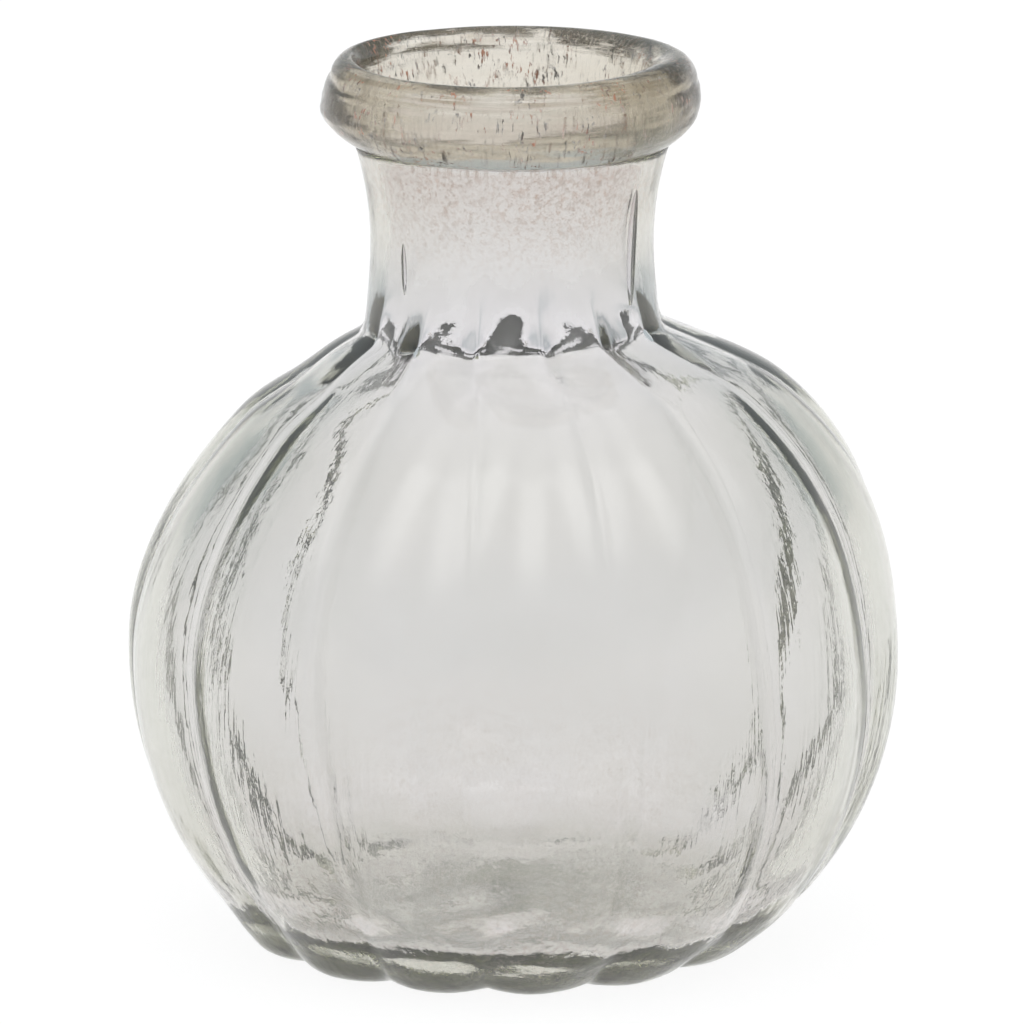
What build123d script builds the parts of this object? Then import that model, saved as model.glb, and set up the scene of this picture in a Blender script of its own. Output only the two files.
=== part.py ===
"""Glass bud vase: a mould-blown ribbed bulb with a plain waisted neck, and a rolled lip ring fused on top.

Millimetres, +Z up. The origin is the centre of the ring that the vase stands on, and the front faces -Y.
"""
import os
from math import acos, asin, cos, degrees, sin, sqrt

from build123d import *

# Overall size
HEIGHT = 90.0                # resting ring to the crest of the lip
BULB_RADIUS = 38.85          # axis to a rib's crest at the widest level
WIDEST_HEIGHT = 29.5         # the level where the bulb is widest
LOWER_SEMI_AXIS = 38.3       # the bulb's outline is half an ellipse below that level
UPPER_SEMI_AXIS = 36.0       # and half a slightly flatter one above it

# Ribs
RIB_COUNT = 14
GROOVE_DEPTH = 1.4           # crest to groove at the widest level
FRONT_GROOVE_ANGLE = -94.5   # one groove runs just left of the front
BULB_LEVELS = 15             # sections that the bulb is lofted through

# Glass thickness
BULB_WALL = 2.5              # at a rib's crest
FLOOR_THICKNESS = 5.0
FLOOR_CORNER_RADIUS = 6.0    # inside, where the floor turns up into the wall
BASE_EDGE_FILLET = 0.8       # outside, round the foot
PUSH_UP_RADIUS = 18.0        # the shallow hollow under the floor leaves a ring to stand on
PUSH_UP_DEPTH = 1.2

# Neck
NECK_FOOT_HEIGHT = 61.0
NECK_WAIST_HEIGHT = 70.0
NECK_TOP_HEIGHT = 81.0       # the neck's cut end, where the lip ring is fused on
NECK_FOOT_RADIUS = 15.1
NECK_WAIST_RADIUS = 14.05
NECK_TOP_RADIUS = 15.6
NECK_FOOT_FILLET = 1.0       # outside, along the scalloped line where the ribs meet the neck
BORE_FOOT_RADIUS = 12.9
BORE_WAIST_RADIUS = 12.7
BORE_TOP_RADIUS = 13.3
BORE_FOOT_BLEND = 3.5        # inside, where the bulb turns up into the neck

# Lip ring
LIP_RADIUS = 18.95           # axis to the outermost point of the roll
LIP_WIDEST_HEIGHT = 85.3
LIP_CREST_RADIUS = 16.3      # where the roll is highest
LIP_MOUTH_RADIUS = 14.6      # the mouth's inner edge
LIP_MOUTH_HEIGHT = 88.9

# Worked out from those
base_angle = -asin(WIDEST_HEIGHT / LOWER_SEMI_AXIS)
top_angle = acos(NECK_WAIST_RADIUS / BULB_RADIUS)
level_step = (top_angle - base_angle) / (BULB_LEVELS - 1)
cavity_radius = BULB_RADIUS - BULB_WALL
cavity_lower = LOWER_SEMI_AXIS - BULB_WALL
floor_angle = asin((WIDEST_HEIGHT - FLOOR_THICKNESS) / cavity_lower)
bore_angle = acos(BORE_FOOT_RADIUS / cavity_radius)
cavity_upper = (NECK_FOOT_HEIGHT - WIDEST_HEIGHT) / sin(bore_angle)
push_up_sphere = (PUSH_UP_RADIUS**2 + PUSH_UP_DEPTH**2) / (2 * PUSH_UP_DEPTH)

neck_foot = (NECK_FOOT_RADIUS, NECK_FOOT_HEIGHT)
neck_waist = (NECK_WAIST_RADIUS, NECK_WAIST_HEIGHT)
neck_top = (NECK_TOP_RADIUS, NECK_TOP_HEIGHT)
floor_edge = (cavity_radius * cos(floor_angle), FLOOR_THICKNESS)
bore_foot = (BORE_FOOT_RADIUS, NECK_FOOT_HEIGHT)
bore_waist = (BORE_WAIST_RADIUS, NECK_WAIST_HEIGHT)
bore_top = (BORE_TOP_RADIUS, NECK_TOP_HEIGHT)
roll_widest = (LIP_RADIUS, LIP_WIDEST_HEIGHT)
roll_crest = (LIP_CREST_RADIUS, HEIGHT)
mouth_edge = (LIP_MOUTH_RADIUS, LIP_MOUTH_HEIGHT)


def bulb_level(angle):
    """Crest radius and height of the bulb's outline, at an angle up from its widest level."""
    semi_axis = UPPER_SEMI_AXIS if angle > 0 else LOWER_SEMI_AXIS
    return BULB_RADIUS * cos(angle), WIDEST_HEIGHT + semi_axis * sin(angle)


def ribbed_section(crest_radius):
    """A scalloped outline: one convex arc per rib, meeting its neighbours at the grooves."""
    groove_radius = crest_radius - GROOVE_DEPTH * sqrt(crest_radius / BULB_RADIUS)
    pitch = 360 / RIB_COUNT
    with BuildLine() as outline:
        for rib in range(RIB_COUNT):
            start = FRONT_GROOVE_ANGLE + rib * pitch
            ThreePointArc(
                Vector(groove_radius, 0).rotate(Axis.Z, start),
                Vector(crest_radius, 0).rotate(Axis.Z, start + pitch / 2),
                Vector(groove_radius, 0).rotate(Axis.Z, start + pitch),
            )
    make_face(outline.edges())


with BuildPart() as vase_body:
    # The ribbed bulb, lofted from the resting face to inside the neck's foot
    for level in range(BULB_LEVELS):
        crest_radius, height = bulb_level(base_angle + level * level_step)
        with BuildSketch(Plane.XY.offset(height)):
            ribbed_section(crest_radius)
    loft()

    # The neck, round and waisted, rising out of the ribs
    with BuildSketch(Plane.XZ):
        with BuildLine():
            ThreePointArc(neck_foot, neck_waist, neck_top)
            Polyline(neck_top, (0, NECK_TOP_HEIGHT), (0, NECK_FOOT_HEIGHT), neck_foot)
        make_face()
    revolve(axis=Axis.Z)

    # Soft edges, where the ribs meet the neck and round the foot
    neck_edges = vase_body.edges().filter_by_position(Axis.Z, NECK_FOOT_HEIGHT, NECK_WAIST_HEIGHT)
    fillet(neck_edges, NECK_FOOT_FILLET)
    fillet(vase_body.edges().group_by(Axis.Z)[0], BASE_EDGE_FILLET)

    # The smooth inside: floor, bulb and bore in one turned profile
    with BuildSketch(Plane.XZ) as cavity:
        with BuildLine():
            Line((0, FLOOR_THICKNESS), floor_edge)
            EllipticalCenterArc((0, WIDEST_HEIGHT), cavity_radius, cavity_lower,
                                -degrees(floor_angle), arc_size=degrees(floor_angle))
            EllipticalCenterArc((0, WIDEST_HEIGHT), cavity_radius, cavity_upper,
                                0, arc_size=degrees(bore_angle))
            ThreePointArc(bore_foot, bore_waist, bore_top)
            Polyline(bore_top, (0, NECK_TOP_HEIGHT), (0, FLOOR_THICKNESS))
        make_face()
        fillet(cavity.vertices().sort_by_distance(Vertex(*floor_edge))[0], FLOOR_CORNER_RADIUS)
        fillet(cavity.vertices().sort_by_distance(Vertex(*bore_foot))[0], BORE_FOOT_BLEND)
    revolve(axis=Axis.Z, mode=Mode.SUBTRACT)

    # The push-up under the floor
    with Locations((0, 0, PUSH_UP_DEPTH - push_up_sphere)):
        Sphere(push_up_sphere, mode=Mode.SUBTRACT)

with BuildPart() as lip_ring:
    # The roll outside, the funnelled mouth inside, seated on the neck's cut end
    with BuildSketch(Plane.XZ):
        with BuildLine():
            Spline(neck_top, roll_widest, tangents=[(2, 1), (0, 1)])
            Spline(roll_widest, roll_crest, tangents=[(0, 1), (-1, 0)])
            Spline(roll_crest, mouth_edge, tangents=[(-1, 0), (-1, -2)])
            Spline(mouth_edge, bore_top, tangents=[(-1, -2), (0, -1)])
            Line(bore_top, neck_top)
        make_face()
    revolve(axis=Axis.Z)

os.makedirs("parts", exist_ok=True)
vase_body.part.label = "vase_body"
export_step(vase_body.part, "parts/vase_body.step")
lip_ring.part.label = "lip_ring"
export_step(lip_ring.part, "parts/lip_ring.step")
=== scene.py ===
"""Looks of the glass bud vase: blown glass in place of the plain CAD solids, a studio and the camera."""

from math import acos, asin, cos, pi, radians, sin

import bpy
import numpy as np
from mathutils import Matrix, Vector, noise


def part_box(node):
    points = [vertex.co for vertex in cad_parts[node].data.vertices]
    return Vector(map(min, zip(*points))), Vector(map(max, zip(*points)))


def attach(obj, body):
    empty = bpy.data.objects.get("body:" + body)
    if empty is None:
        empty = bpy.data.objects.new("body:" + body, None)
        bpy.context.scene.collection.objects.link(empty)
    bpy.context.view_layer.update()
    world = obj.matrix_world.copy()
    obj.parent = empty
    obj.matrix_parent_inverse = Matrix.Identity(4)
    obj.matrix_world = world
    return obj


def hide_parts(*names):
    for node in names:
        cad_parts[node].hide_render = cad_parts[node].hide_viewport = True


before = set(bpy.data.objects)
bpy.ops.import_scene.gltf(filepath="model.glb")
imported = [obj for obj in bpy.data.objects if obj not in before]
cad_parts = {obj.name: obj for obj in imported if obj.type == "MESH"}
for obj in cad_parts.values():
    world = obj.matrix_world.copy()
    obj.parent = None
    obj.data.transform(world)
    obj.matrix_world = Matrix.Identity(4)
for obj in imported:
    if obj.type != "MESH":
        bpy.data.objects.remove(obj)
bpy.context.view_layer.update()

MM = 0.001

# ---------------------------------------------------------------- sizes
lip_low, lip_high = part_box("lip_ring")
HEIGHT = lip_high[2]
SEAM_HEIGHT = lip_low[2]                     # where the rolled lip is fused to the neck
SEAM_GAP = 0.02 * MM                         # keeps the two closed glass meshes apart at the fused line
LIP_RADIUS = (lip_high[0] - lip_low[0]) / 2

BULB_RADIUS = 38.7 * MM                      # over the crests of the ribs
WIDEST_HEIGHT = 29.5 * MM
LOWER_SEMI_AXIS = 38.3 * MM
UPPER_SEMI_AXIS = 36.5 * MM

# The foot: a flat ring to stand on, a shallow push-up inside it and a thick domed floor above.
FOOT_EDGE = 0.6 * MM                         # the bulb's outline starts this high; the ring ends this far in
FOOT_RADIUS = 24.0 * MM
RING_RISE = 0.05 * MM                        # the ring's inner edge is this far off the table
PUSH_UP_RADIUS = 18.0 * MM
PUSH_UP_DEPTH = 1.2 * MM
FLOOR_THICKNESS = 3.1 * MM                   # the floor is domed like the push-up
FLOOR_CORNER = 12.0 * MM                     # the wall curves into the floor over this distance
WALL_FOOT_HEIGHT = 8.0 * MM                  # below this the wall thickens into the floor

# Thickness of the wall at each height: thin at the foot of the neck, thick again above and below it.
WALL_HEIGHTS = [h * MM for h in (9, 20, 45, 52, 57, 60.5, 62, 63.5, 65, 68, 72, 81)]
WALL_THICKNESSES = [t * MM for t in (2.7, 2.4, 2.3, 2.6, 2.3, 1.2, 0.9, 0.9, 1.0, 1.9, 2.5, 2.3)]

NECK_FOOT_HEIGHT = 62.9 * MM
NECK_WAIST_HEIGHT = 70.0 * MM
NECK_RADII = (15.05 * MM, 14.05 * MM, 15.6 * MM)      # at the foot, the waist and the seam
BORE_RADIUS = 13.3 * MM                      # at the seam

# The roll's outline keeps this far inside the CAD's box, at its widest and at its crest.
LIP_CLEARANCE = 0.1 * MM
CREST_CLEARANCE = 0.03 * MM

RIB_COUNT = 14
RIB_DEPTH = 1.3 * MM
INNER_RIB_DEPTH = 1.25 * MM
RIB_SHARPNESS = 16.0                         # a higher number makes a narrower groove
INNER_RIB_SHARPNESS = 7.0
FRONT_GROOVE = radians(-93.5)                # the groove nearest the front, at the foot
RIB_TWIST = radians(-10.5)                   # how far the grooves have turned by the foot of the neck
TWIST_HEIGHT = 60 * MM
TWIST_POWER = 1.5                            # most of the turn is high up
UNEVEN_RIBS = (0.010, 0.012)                 # swing of the ribs' places, twice and three times round

# Heights at which something starts, is full, starts to fade and is gone.
LEAN_BAND = [h * MM for h in (31, 55, 57, 63.5)]
JUNCTION_BAND = [h * MM for h in (53, 61, 64, 72)]
KNOT_BAND = [h * MM for h in (56, 60, 64, 68)]
INNER_RIB_BAND = [h * MM for h in (4, 12, 57, 63)]

SHOULDER_LEAN = 1.9 * MM                     # the right shoulder is fuller than the left
FOOT_LEAN = -1.1 * MM
FOOT_SCALLOP = 0.45 * MM                     # how far the grooves lift the edge of the foot
FOOT_DENT = 0.15 * MM
JUNCTION_DROP = -0.9 * MM                    # the foot of the neck sits low, more so on the left
JUNCTION_TILT = 0.03

# How deep the inside's unevenness goes: everywhere, near the floor, and at the foot of the neck.
SLOW_WAVE = 0.20 * MM
QUICK_WAVE = 0.012 * MM
QUICK_WAVE_LOW = 0.22 * MM
LUMP_LOW = 0.8 * MM
KNOT_IN_GROOVE = 0.40 * MM
KNOT_ON_CREST = -0.28 * MM
KNOT_WAVE = 0.35 * MM

LIP_INSET = 0.12 * MM                        # room for the waves inside the CAD's box
LIP_WAVE = 0.16 * MM
LIP_DRAWN_WAVE = 0.13 * MM                   # flatter waves, drawn out round the roll
LIP_BULGE = 0.45 * MM                        # the roll is fuller low down on the left
BULGE_HEIGHT = 84.0 * MM
BULGE_HALF_HEIGHT = 2.2 * MM
MOUTH_SHIFT = 0.8 * MM                       # the mouth is off centre, to the left
RIM_DIP = 0.5 * MM                           # the rim is lower at the front left
RIM_DIP_AZIMUTH = radians(-110)
FOLD_DEPTH = 0.16 * MM                       # a shallow fold runs round the roll under its top
FOLD_HEIGHT = 87.6 * MM
FOLD_WANDER = 0.7 * MM
FOLD_HALF_WIDTH = 0.40 * MM

AROUND = 336                                 # points round every ring
OUTSIDE_ROWS = 150
INSIDE_ROWS = 128
LIP_ROWS = 110

# Azimuth in degrees, height, half sizes (through the wall, round it and up it) and lean of each air bubble.
BUBBLES = [
    (-30, 71.8 * MM, (0.45 * MM, 0.75 * MM, 6.0 * MM), 0.05),
    (-141, 69.5 * MM, (0.30 * MM, 0.35 * MM, 2.6 * MM), -0.05),
]


# ---------------------------------------------------------------- outlines, as chains of (radius, height)
def smooth(edge0, edge1, x):
    """0 below edge0 and 1 above edge1, with a soft step between."""
    t = np.clip((x - edge0) / (edge1 - edge0), 0, 1)
    return t * t * (3 - 2 * t)


def band(z, heights):
    """1 between the two middle heights and 0 outside the outer two, with soft steps between."""
    start, full, fade, gone = heights
    return smooth(start, full, z) * (1 - smooth(fade, gone, z))


def resample(chains, count):
    """count points evenly spaced by length along the chains joined end to end."""
    points = np.concatenate(chains)
    run = np.concatenate([[0], np.cumsum(np.hypot(*np.diff(points, axis=0).T))])
    at = np.linspace(0, run[-1], count)
    return np.stack([np.interp(at, run, points[:, 0]), np.interp(at, run, points[:, 1])], 1)


def arc(first, middle, last, steps=60):
    """The circular arc through three points that runs up or down a wall."""
    (ax, ay), (bx, by), (cx, cy) = first, middle, last
    d = 2 * (ax * (by - cy) + bx * (cy - ay) + cx * (ay - by))
    a2, b2, c2 = ax**2 + ay**2, bx**2 + by**2, cx**2 + cy**2
    ux = (a2 * (by - cy) + b2 * (cy - ay) + c2 * (ay - by)) / d
    uy = (a2 * (cx - bx) + b2 * (ax - cx) + c2 * (bx - ax)) / d
    radius = np.hypot(ax - ux, ay - uy)
    height = np.linspace(ay, cy, steps)
    side = np.sign(bx - ux)
    return np.stack([ux + side * np.sqrt(radius**2 - (height - uy)**2), height], 1)


def bulb_arc(start, end, steps=200):
    """Part of the bulb's outline: two half ellipses that meet at the widest height."""
    a = np.linspace(start, end, steps)
    semi_axis = np.where(a > 0, UPPER_SEMI_AXIS, LOWER_SEMI_AXIS)
    return np.stack([BULB_RADIUS * np.cos(a), WIDEST_HEIGHT + semi_axis * np.sin(a)], 1)


def softened(rows, passes):
    """Rounds the corners of an evenly spaced chain and keeps its ends."""
    for _ in range(passes):
        rows[1:-1] = (rows[:-2] + 2 * rows[1:-1] + rows[2:]) / 4
    return rows


def body_outside():
    """From the middle of the underside out to the foot, up the bulb and up the neck to the seam."""
    foot, waist, seam = NECK_RADII
    underside = [(0.0, PUSH_UP_DEPTH), (PUSH_UP_RADIUS, RING_RISE), (FOOT_RADIUS - FOOT_EDGE, 0.0)]
    bulb = bulb_arc(-asin((WIDEST_HEIGHT - FOOT_EDGE) / LOWER_SEMI_AXIS), acos(foot / BULB_RADIUS))
    neck = arc((foot, NECK_FOOT_HEIGHT), (waist, NECK_WAIST_HEIGHT), (seam, SEAM_HEIGHT))
    return softened(resample([underside, bulb, neck], OUTSIDE_ROWS), 3)


def body_inside(outside):
    """The outside moved in by the wall's thickness, from the seam down to a thick domed floor."""
    wall_top = len(outside) - np.argmax(outside[::-1, 1] < WALL_FOOT_HEIGHT)
    wall = outside[wall_top:]
    along = np.gradient(wall, axis=0)
    along /= np.hypot(along[:, :1], along[:, 1:])
    inwards = np.stack([-along[:, 1], along[:, 0]], 1)
    thickness = np.interp(wall[:, 1], WALL_HEIGHTS, WALL_THICKNESSES)
    wall = (wall + inwards * thickness[:, None])[::-1]

    wall_radius, wall_height = wall[-1]
    turn = np.linspace(0, pi / 2, 40)
    corner_r = wall_radius - FLOOR_CORNER * (1 - np.cos(turn))
    corner_z = wall_height - (wall_height - FLOOR_THICKNESS) * np.sin(turn)
    floor_radius = wall_radius - FLOOR_CORNER
    floor_r = np.linspace(floor_radius, 0, 30)
    floor_z = FLOOR_THICKNESS + PUSH_UP_DEPTH * (1 - (floor_r / floor_radius)**2)
    corner, floor = np.stack([corner_r, corner_z], 1), np.stack([floor_r, floor_z], 1)
    return softened(resample([wall, corner[1:], floor[1:]], INSIDE_ROWS), 8)


def lip_outline():
    """From the neck's outside out over the roll and down into the bore; a flat face at the seam closes it."""
    low = SEAM_HEIGHT + SEAM_GAP
    widest = [(NECK_RADII[2], low), (16.9 * MM, 81.8 * MM), (18.2 * MM, 83.2 * MM),
              (LIP_RADIUS - LIP_CLEARANCE, 85.3 * MM)]
    crest = [(18.4 * MM, 87.9 * MM), (17.5 * MM, 89.3 * MM), (16.3 * MM, HEIGHT - CREST_CLEARANCE)]
    mouth = [(15.1 * MM, 89.6 * MM), (14.55 * MM, 88.6 * MM), (14.2 * MM, 87.0 * MM), (13.6 * MM, 84.0 * MM),
             (BORE_RADIUS, low)]
    return softened(resample([widest, crest, mouth], LIP_ROWS), 30)


# ---------------------------------------------------------------- the blown shape: ribs, lean and waviness
ANGLES = np.arange(AROUND) / AROUND * 2 * pi


def rib_fall(z, sharpness):
    """0 on a rib's crest and 1 in a groove, at every height and angle: convex lobes and rounded grooves."""
    turned = FRONT_GROOVE + RIB_TWIST * np.clip(z / TWIST_HEIGHT, 0, 1)**TWIST_POWER
    from_front = ANGLES + pi / 2
    uneven = UNEVEN_RIBS[0] * np.sin(2 * from_front) + UNEVEN_RIBS[1] * np.sin(3 * from_front)
    across = (ANGLES + uneven - turned) / (2 * pi / RIB_COUNT)
    u = np.abs(across % 1 - 0.5) * 2
    return -np.log(np.exp(-sharpness * u**2) + np.exp(-sharpness * (2 - u)**2)) / sharpness


def waves(grid, size, seed, octaves=2):
    """Smooth noise of about -1 to 1 at each point, with waves of the given size; each seed has its own."""
    shift = Vector((17.3 * seed, 5.1 * seed, 9.7 * seed))
    values = [noise.fractal(Vector(p) / size + shift, 1.0, 2.0, octaves) for p in grid.reshape(-1, 3)]
    return np.array(values).reshape(grid.shape[:2])


def ring_grid(rows):
    """(radius, height) rows turned round the axis, as an array of rows by angles by xyz."""
    r, z = rows[:, :1], rows[:, 1:]
    return np.stack([r * np.cos(ANGLES), r * np.sin(ANGLES), z + 0 * ANGLES], -1)


def pushed_in(grid, depth):
    """The grid with every point moved towards the axis by depth."""
    radius = np.maximum(np.hypot(grid[..., 0], grid[..., 1]), 1e-6)
    grid[..., :2] *= (1 - depth / radius)[..., None]
    return grid


def leaned(grid):
    """The hot glass has slumped: right at the shoulder, left at the foot, and down where the neck starts."""
    z = grid[..., 2]
    grid[..., 0] += SHOULDER_LEAN * band(z, LEAN_BAND) + FOOT_LEAN * (1 - smooth(0, 6 * MM, z))
    grid[..., 2] += (JUNCTION_DROP + JUNCTION_TILT * grid[..., 0]) * band(z, JUNCTION_BAND)
    return grid


def outside_grid():
    """The outside of the body: ribs from the foot to the neck, a scalloped foot and small dents near it."""
    rows = body_outside()
    r, z = rows[:, :1], rows[:, 1:]
    under_neck = 1 - smooth(60 * MM, 67 * MM, z)
    past_foot = np.where(z > WIDEST_HEIGHT, 1, smooth(17 * MM, 23 * MM, r))
    depth = RIB_DEPTH * np.sqrt(r / BULB_RADIUS) * under_neck * past_foot
    grid = ring_grid(rows)
    fall = rib_fall(z, RIB_SHARPNESS)
    at_foot = smooth(19 * MM, 24 * MM, r) * (1 - smooth(1.5 * MM, 5 * MM, z))
    grid[..., 2] += FOOT_SCALLOP * fall * at_foot
    near_foot = (1 - smooth(6 * MM, 14 * MM, z)) * smooth(10 * MM, 22 * MM, r)
    dents = (waves(grid, 5 * MM, seed=7) + 1) * FOOT_DENT * near_foot
    return leaned(pushed_in(grid, fall * depth + dents))


def inside_grid():
    """The inside of the body: softer ribs, a wavy skin, and knots where the neck and the floor start."""
    rows = body_inside(body_outside())
    r, z = rows[:, :1], rows[:, 1:]
    depth = INNER_RIB_DEPTH * np.sqrt(r / BULB_RADIUS) * band(z, INNER_RIB_BAND)
    grid = ring_grid(rows)
    fall = rib_fall(z, INNER_RIB_SHARPNESS)
    low_down = 1 - smooth(7 * MM, 17 * MM, z)
    slow = waves(grid, 17 * MM, seed=1) * SLOW_WAVE
    quick = waves(grid, 4 * MM, seed=2) * (QUICK_WAVE + QUICK_WAVE_LOW * low_down)
    lumps = waves(grid, 9 * MM, seed=4) * LUMP_LOW * low_down
    knots = fall * KNOT_IN_GROOVE + (1 - fall) * KNOT_ON_CREST + waves(grid, 7 * MM, seed=3) * KNOT_WAVE
    wavy = (slow + quick + lumps + knots * band(z, KNOT_BAND)) * smooth(0, 6 * MM, r)
    return leaned(pushed_in(grid, fall * depth - wavy))


def lip_grid():
    """The rolled lip: uneven, with a fold under its top, a bulge, a dip and an off-centre mouth."""
    grid = ring_grid(lip_outline())
    z = grid[..., 2]
    inner = 1 - smooth(14.4 * MM, 16.6 * MM, np.hypot(grid[..., 0], grid[..., 1]))
    above_seam = smooth(SEAM_HEIGHT, SEAM_HEIGHT + 2 * MM, z)
    uneven = LIP_INSET + waves(grid, 9 * MM, seed=5) * LIP_WAVE
    uneven += waves(grid * (1, 1, 5), 7 * MM, seed=6, octaves=3) * LIP_DRAWN_WAVE
    fold_height = FOLD_HEIGHT + waves(grid * (1, 1, 0), 8 * MM, seed=8) * FOLD_WANDER
    fold = np.exp(-((z - fold_height) / FOLD_HALF_WIDTH)**2) * (1 - inner)
    left = np.maximum(0, -np.cos(ANGLES))
    bulge = np.exp(-((z - BULGE_HEIGHT) / BULGE_HALF_HEIGHT)**2) * left * (1 - inner)
    dip = smooth(85.5 * MM, HEIGHT, z) * np.maximum(0, np.cos(ANGLES - RIM_DIP_AZIMUTH))
    grid = pushed_in(grid, uneven * above_seam + FOLD_DEPTH * fold - LIP_BULGE * bulge)
    grid[..., 0] -= MOUTH_SHIFT * inner * smooth(SEAM_HEIGHT, 86 * MM, z)
    grid[..., 2] -= RIM_DIP * dip
    return grid


# ---------------------------------------------------------------- meshes
def strips(rows, closed=False):
    """Quads between neighbouring rings, and from the last ring to the first if closed."""
    i, j = np.meshgrid(np.arange(rows if closed else rows - 1), np.arange(AROUND), indexing="ij")
    i2, j2 = (i + 1) % rows, (j + 1) % AROUND
    corners = [i * AROUND + j, i * AROUND + j2, i2 * AROUND + j2, i2 * AROUND + j]
    return np.stack(corners, -1).reshape(-1, 4).tolist()


def make_piece(name, verts, faces, material):
    """A smooth-shaded object with one material, in the scene."""
    mesh = bpy.data.meshes.new(name)
    mesh.from_pydata([tuple(v) for v in verts], [], faces)
    mesh.update()
    mesh.polygons.foreach_set("use_smooth", [True] * len(mesh.polygons))
    mesh.materials.append(material)
    piece = bpy.data.objects.new(name, mesh)
    bpy.context.scene.collection.objects.link(piece)
    return piece


def bubble(centre, half_sizes, lean, rings=12, sectors=18):
    """A closed air bubble in the wall: its faces look inwards, away from the glass. Sizes: out, round, up."""
    out = Vector((centre[0], centre[1], 0)).normalized()
    around = Vector((-out.y, out.x, 0))
    up = (Vector((0, 0, 1)) + around * lean).normalized()
    centre = Vector(centre)
    axes = [axis * size for axis, size in zip((out, around, up), half_sizes)]
    verts = []
    for i in range(1, rings):
        for j in range(sectors):
            t, p = pi * i / rings, 2 * pi * j / sectors
            verts.append(centre + axes[0] * sin(t) * cos(p) + axes[1] * sin(t) * sin(p) + axes[2] * cos(t))
    top, bottom = len(verts), len(verts) + 1
    verts += [centre + axes[2], centre - axes[2]]
    faces = []
    for j in range(sectors):
        k = (j + 1) % sectors
        faces += [[i * sectors + j, i * sectors + k, (i + 1) * sectors + k, (i + 1) * sectors + j]
                  for i in range(rings - 2)]
        faces += [[top, k, j], [bottom, (rings - 2) * sectors + j, (rings - 2) * sectors + k]]
    return verts, faces


def wall_middle(outside, inside, azimuth, height):
    """The point halfway through the wall at an azimuth in degrees and a height."""
    j = round(azimuth / 360 * AROUND) % AROUND
    outer = outside[np.argmin(abs(outside[:, j, 2] - height)), j]
    inner = inside[np.argmin(abs(inside[:, j, 2] - height)), j]
    return (outer + inner) / 2


def vase_body(material):
    """The outside and the inside joined at the seam, with the air bubbles in the wall between them."""
    outside, inside = outside_grid(), inside_grid()
    grid = np.concatenate([outside[1:], inside[:-1]])
    verts = grid.reshape(-1, 3).tolist()
    faces = strips(len(grid))
    underside, floor = len(verts), len(verts) + 1
    verts += [outside[0, 0].tolist(), inside[-1, 0].tolist()]
    last_ring = (len(grid) - 1) * AROUND
    for j in range(AROUND):
        k = (j + 1) % AROUND
        faces += [[underside, k, j], [floor, last_ring + j, last_ring + k]]
    for azimuth, height, half_sizes, lean in BUBBLES:
        more_verts, more_faces = bubble(wall_middle(outside, inside, azimuth, height), half_sizes, lean)
        faces += [[len(verts) + i for i in face] for face in more_faces]
        verts += more_verts
    return make_piece("ribbed_body", verts, faces, material)


def rolled_lip(material):
    grid = lip_grid()
    return make_piece("rolled_lip", grid.reshape(-1, 3).tolist(), strips(len(grid), closed=True), material)


# ---------------------------------------------------------------- shader nodes
def add(tree, kind, settings=(), **inputs):
    """A new node. Its inputs are given by name, with _ for a space, or by number, as in _0.

    An input is a number, a colour or another node's socket; settings are the node's own properties.
    """
    made = tree.nodes.new(kind)
    for name, value in dict(settings).items():
        setattr(made, name, value)
    for name, value in inputs.items():
        socket = made.inputs[int(name[1:])] if name[0] == "_" else made.inputs[name.replace("_", " ")]
        if isinstance(value, bpy.types.NodeSocket):
            tree.links.new(value, socket)
        else:
            socket.default_value = value
    return made


def maths(tree, operation, a, b=0.0):
    return add(tree, "ShaderNodeMath", {"operation": operation}, _0=a, _1=b).outputs[0]


def vector_maths(tree, operation, a, b=(0, 0, 0)):
    return add(tree, "ShaderNodeVectorMath", {"operation": operation}, _0=a, _1=b)


def between(tree, value, low, high, to_low=0.0, to_high=1.0):
    """value taken from low..high to to_low..to_high, with a soft step."""
    made = add(tree, "ShaderNodeMapRange", {"interpolation_type": "SMOOTHSTEP"}, Value=value,
               From_Min=low, From_Max=high, To_Min=to_low, To_Max=to_high)
    return made.outputs["Result"]


def mixed(tree, share, a, b):
    return add(tree, "ShaderNodeMix", {"data_type": "RGBA"}, _0=share, _6=a, _7=b).outputs[2]


def stretched(tree, across, up):
    """Places on the object in metres, with different scales across and up."""
    where = add(tree, "ShaderNodeTexCoord")
    return vector_maths(tree, "MULTIPLY", where.outputs["Object"], (across, across, up)).outputs[0]


def grain(tree, across, up, detail, roughness=0.5):
    """Noise from 0 to 1 with the given number of waves per metre across and up."""
    made = add(tree, "ShaderNodeTexNoise", Vector=stretched(tree, across, up), Scale=1.0, Detail=detail,
               Roughness=roughness)
    return made.outputs["Fac"]


def drawn_lines(tree):
    """Noise from 0 to 1 in fine lines that run up the ribs."""
    outwards = vector_maths(tree, "NORMALIZE", stretched(tree, 1, 0)).outputs[0]
    spread = vector_maths(tree, "MULTIPLY", outwards, (30, 30, 30)).outputs[0]
    place = vector_maths(tree, "ADD", spread, stretched(tree, 0, 45)).outputs[0]
    return add(tree, "ShaderNodeTexNoise", Vector=place, Scale=1.0, Detail=3, Roughness=0.5).outputs["Fac"]


def height_of(tree):
    where = add(tree, "ShaderNodeTexCoord")
    return add(tree, "ShaderNodeSeparateXYZ", _0=where.outputs["Object"]).outputs["Z"]


def radius_of(tree):
    return vector_maths(tree, "LENGTH", stretched(tree, 1, 0)).outputs["Value"]


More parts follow.
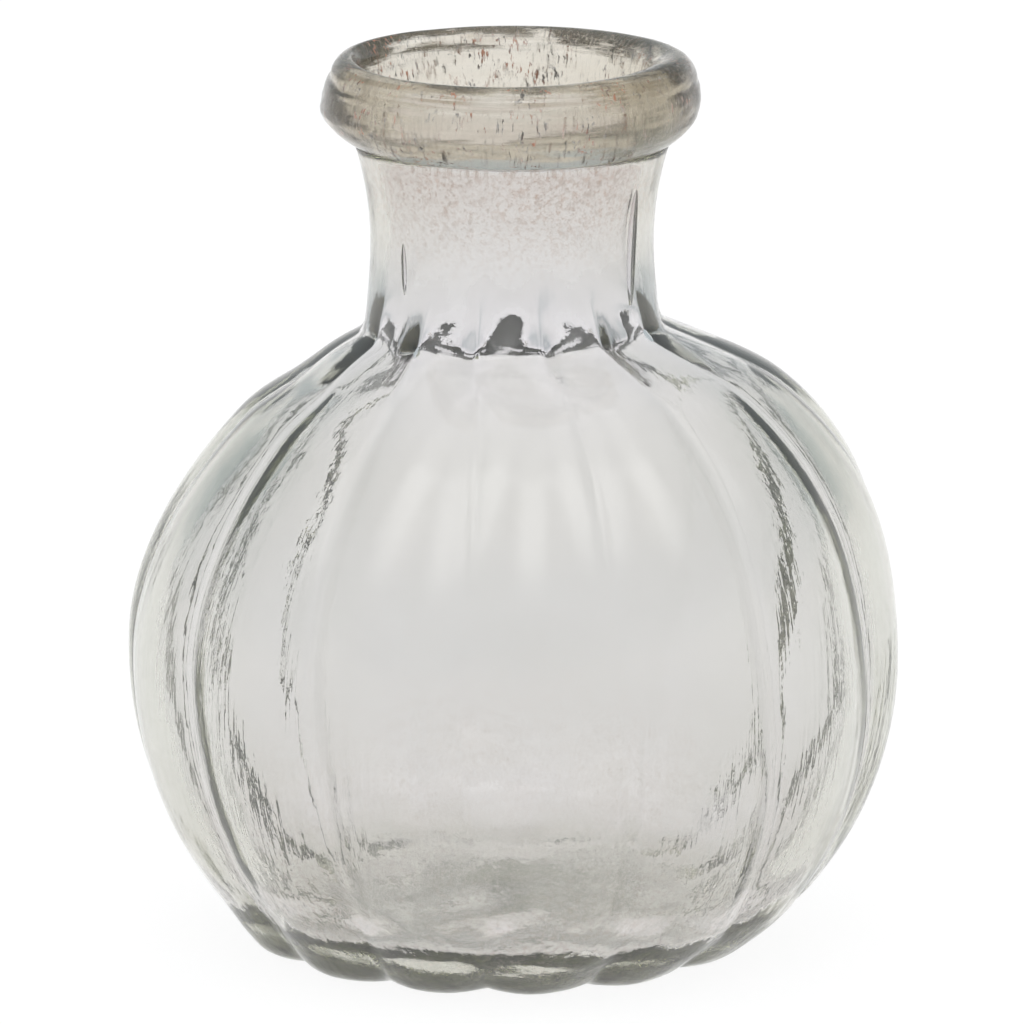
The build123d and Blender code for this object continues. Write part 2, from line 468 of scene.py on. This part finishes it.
def seam_haze(tree):
    """0.5 on the fused join of the lip and the neck, and 0 away from it."""
    away = maths(tree, "ABSOLUTE", maths(tree, "SUBTRACT", height_of(tree), SEAM_HEIGHT))
    return between(tree, away, 0.12 * MM, 0.03 * MM, 0.0, 0.5)


# ---------------------------------------------------------------- glass
GLASS_IOR = 1.5
# What a depth of glass leaves of the light, and how fast it takes the rest.
BODY_LEFT_OVER = (0.60, 0.62, 0.42, 1)
BODY_DENSITY = 80
LIP_LEFT_OVER = (0.62, 0.56, 0.40, 1)
LIP_DENSITY = 125
# Tints of the clean surface, from one end of its variation to the other, and colours of what lies in it.
BODY_TINTS = ((0.895, 0.882, 0.905, 1), (0.92, 0.91, 0.935, 1))
DUST_COLOUR = (0.66, 0.50, 0.43, 1)
LIP_TINTS = ((0.95, 0.94, 0.94, 1), (0.985, 0.96, 0.93, 1))       # in the mouth and on the outside
STREAK_COLOUR = (0.44, 0.37, 0.27, 1)
RUST_COLOURS = ((0.46, 0.20, 0.12, 1), (0.10, 0.09, 0.08, 1))
# Height of the fine relief in each surface.
BODY_RELIEF = 0.015 * MM
LIP_RELIEF = 0.045 * MM


def glass_material(name, left_over, density):
    """A closed glass solid that takes light away by depth; its shader is returned for the details."""
    material = bpy.data.materials.new(name)
    material.use_nodes = True
    tree = material.node_tree
    tree.nodes.clear()
    shader = add(tree, "ShaderNodeBsdfPrincipled", IOR=GLASS_IOR)
    volume = add(tree, "ShaderNodeVolumeAbsorption", Color=left_over, Density=density)
    add(tree, "ShaderNodeOutputMaterial", Surface=shader.outputs[0], Volume=volume.outputs[0])
    return material, tree, shader


def finish_surface(tree, shader, colour, clearness, roughness, relief, relief_height):
    """Links the details to the shader of a glass material."""
    bump = add(tree, "ShaderNodeBump", Strength=1.0, Distance=relief_height, Height=relief)
    tree.links.new(colour, shader.inputs["Base Color"])
    tree.links.new(clearness, shader.inputs["Transmission Weight"])
    tree.links.new(roughness, shader.inputs["Roughness"])
    tree.links.new(bump.outputs[0], shader.inputs["Normal"])


def body_glass():
    """Faintly smoky glass, dusty under the lip and low in the bulb, with a slightly uneven skin."""
    material, tree, shader = glass_material("body_glass", BODY_LEFT_OVER, BODY_DENSITY)
    z = height_of(tree)
    film = grain(tree, 120, 90, 3)
    specks = between(tree, grain(tree, 1900, 1700, 6, 0.75), 0.50, 0.60)

    under_lip = maths(tree, "MULTIPLY", between(tree, z, 67 * MM, 79 * MM), film)
    in_foot = maths(tree, "MULTIPLY", between(tree, z, 26 * MM, 5 * MM), film)
    under_lip = maths(tree, "MULTIPLY", under_lip, 1.3)
    in_foot = maths(tree, "MULTIPLY", in_foot, 0.65)
    dusty = maths(tree, "ADD", under_lip, in_foot)
    dust = maths(tree, "MULTIPLY", dusty, maths(tree, "ADD", maths(tree, "MULTIPLY", specks, 0.85), 0.15))

    colour = mixed(tree, dust, mixed(tree, film, *BODY_TINTS), DUST_COLOUR)
    clearness = between(tree, dust, 0.0, 1.0, 0.97, 0.70)
    worn = between(tree, maths(tree, "ADD", dust, maths(tree, "MULTIPLY", film, 0.1)), 0.0, 1.0, 0.01, 0.16)
    roughness = maths(tree, "MAXIMUM", worn, seam_haze(tree))

    # The skin is rougher near the foot, and the drawn lines are fainter on the shoulder.
    ripples = maths(tree, "MULTIPLY", grain(tree, 230, 160, 2), 2.5)
    skin = maths(tree, "ADD", grain(tree, 900, 700, 3), ripples)
    skin = maths(tree, "MULTIPLY", skin, between(tree, z, 20 * MM, 5 * MM, 1.0, 3.5))
    lines = maths(tree, "MULTIPLY", drawn_lines(tree), between(tree, z, 30 * MM, 50 * MM, 2.6, 0.6))
    finish_surface(tree, shader, colour, clearness, roughness, maths(tree, "ADD", skin, lines), BODY_RELIEF)
    return material


def lip_glass():
    """Thicker, browner glass, drawn into fine rings by the tool, with rusty marks in the skin."""
    material, tree, shader = glass_material("lip_glass", LIP_LEFT_OVER, LIP_DENSITY)
    outside = between(tree, radius_of(tree), 14.6 * MM, 16.6 * MM)
    rings = grain(tree, 60, 2600, 4, 0.65)
    film = grain(tree, 170, 260, 4, 0.6)
    ticks = between(tree, grain(tree, 2600, 560, 4, 0.65), 0.55, 0.62)

    # The drawn streaks are strongest on the outside of the roll's top; the rusty marks come in patches.
    streaks = between(tree, rings, 0.42, 0.58)
    for share in (between(tree, film, 0.30, 0.65, 0.2, 1.0),
                  between(tree, outside, 0.0, 1.0, 0.15, 1.0),
                  between(tree, height_of(tree), 86.6 * MM, 88.0 * MM, 0.2, 1.0)):
        streaks = maths(tree, "MULTIPLY", streaks, share)
    marks = maths(tree, "MULTIPLY", ticks, between(tree, film, 0.44, 0.58))

    streaky = mixed(tree, streaks, mixed(tree, outside, *LIP_TINTS), STREAK_COLOUR)
    rust = mixed(tree, between(tree, grain(tree, 500, 500, 2), 0.4, 0.6), *RUST_COLOURS)
    colour = mixed(tree, marks, streaky, rust)
    cover = maths(tree, "MAXIMUM", maths(tree, "MULTIPLY", streaks, 0.08), marks)
    clearness = between(tree, cover, 0.0, 1.0, 0.98, 0.15)
    worn = between(tree, streaks, 0.0, 1.0, 0.01, 0.06)
    roughness = maths(tree, "MAXIMUM", worn, seam_haze(tree))
    relief = maths(tree, "ADD", rings, maths(tree, "MULTIPLY", ticks, -0.25))
    finish_surface(tree, shader, colour, clearness, roughness, relief, LIP_RELIEF)
    return material


body = vase_body(body_glass())
lip = rolled_lip(lip_glass())
for piece, cad_node, slot in ((body, "vase_body", "body_glass"), (lip, "lip_ring", "lip_glass")):
    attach(piece, "root")
    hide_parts(cad_node)


# ---------------------------------------------------------------- studio
STAGE_RADIUS = 8.0
STAGE_SIDES = 96
STAGE_HEIGHT = -0.05 * MM
STAGE_GLOW = 0.90
STAGE_GREY = (0.16, 0.16, 0.16, 1)
STRIP_LIGHTS = [(-152, 1.2), (-92, 1.1), (-32, 1.2)]              # azimuth and strength
WHITE = (1, 1, 1)
PALE = (0.70, 0.74, 0.75)
DIM = (0.47, 0.52, 0.54)
# The studio's walls and ceiling by the sine of the elevation: white low down and overhead, dim between.
SKY = [(0.08, WHITE), (0.20, PALE), (0.34, DIM), (0.62, DIM), (0.85, WHITE), (1.0, WHITE)]


def white_floor():
    """A white floor that glows, so that it stays white, and takes only a faint shadow."""
    material = bpy.data.materials.new("floor")
    material.use_nodes = True
    tree = material.node_tree
    tree.nodes.clear()
    glow = add(tree, "ShaderNodeEmission", Color=(*WHITE, 1), Strength=STAGE_GLOW)
    diffuse = add(tree, "ShaderNodeBsdfDiffuse", Color=STAGE_GREY)
    both = add(tree, "ShaderNodeAddShader", _0=diffuse.outputs[0], _1=glow.outputs[0])
    add(tree, "ShaderNodeOutputMaterial", Surface=both.outputs[0])
    turns = [2 * pi * i / STAGE_SIDES for i in range(STAGE_SIDES)]
    ring = [(STAGE_RADIUS * cos(a), STAGE_RADIUS * sin(a), STAGE_HEIGHT) for a in turns]
    floor = make_piece("floor", ring, [list(range(STAGE_SIDES))], material)


def strip_light(tree, where, azimuth, strength):
    """The glow of a strip light that runs up the sky at an azimuth in degrees."""
    a = radians(azimuth)
    beside = vector_maths(tree, "DOT_PRODUCT", where, (-sin(a), cos(a), 0)).outputs["Value"]
    ahead = vector_maths(tree, "DOT_PRODUCT", where, (cos(a), sin(a), 0)).outputs["Value"]
    across = between(tree, maths(tree, "ABSOLUTE", beside), 0.24, 0.06, 0.0, strength)
    return maths(tree, "MULTIPLY", across, between(tree, ahead, 0.0, 0.1))


def studio_sky():
    """The world: the sky's bands of grey and white, and the strip lights high up in front of the vase."""
    made = bpy.data.worlds.new("studio")
    bpy.context.scene.world = made
    made.use_nodes = True
    tree = made.node_tree
    where = add(tree, "ShaderNodeTexCoord").outputs["Generated"]
    up = add(tree, "ShaderNodeSeparateXYZ", _0=where).outputs["Z"]
    ramp = add(tree, "ShaderNodeValToRGB", _0=up)
    elements = ramp.color_ramp.elements
    while len(elements) < len(SKY):
        elements.new(0.5)
    for element, (position, colour) in zip(elements, SKY):
        element.position = position
        element.color = (*colour, 1)
    tall = maths(tree, "MULTIPLY", between(tree, up, 0.45, 0.85), between(tree, up, 0.99, 0.92))
    lit = ramp.outputs[0]
    for azimuth, strength in STRIP_LIGHTS:
        strip = maths(tree, "MULTIPLY", strip_light(tree, where, azimuth, strength), tall)
        lit = vector_maths(tree, "ADD", lit, strip).outputs[0]
    tree.links.new(lit, tree.nodes["Background"].inputs["Color"])


white_floor()
studio_sky()

# ---------------------------------------------------------------- camera
ELEVATION = radians(13.0)
DISTANCE = 0.880
AIM_HEIGHT = 43.4 * MM
HALF_FRAME = 51.03 * MM                      # half the picture's width, at the vase
SENSOR_WIDTH = 36
camera_data = bpy.data.cameras.new("camera")
camera = bpy.data.objects.new("camera", camera_data)
bpy.context.scene.collection.objects.link(camera)
bpy.context.scene.camera = camera
back = Vector((0, -cos(ELEVATION), sin(ELEVATION)))
camera.location = Vector((0, 0, AIM_HEIGHT)) + back * DISTANCE
camera.rotation_mode = "QUATERNION"
camera.rotation_quaternion = (-back).to_track_quat("-Z", "Y")
camera_data.sensor_width = SENSOR_WIDTH
camera_data.lens = SENSOR_WIDTH / 2 / (HALF_FRAME / DISTANCE)
camera_data.clip_start = 0.05
camera_data.clip_end = 50

scene = bpy.context.scene
scene.view_settings.view_transform = "Standard"
# Light is reflected many times inside the thick foot before it leaves.
BOUNCES = 16
scene.cycles.max_bounces = BOUNCES
scene.cycles.glossy_bounces = BOUNCES
scene.cycles.transmission_bounces = BOUNCES
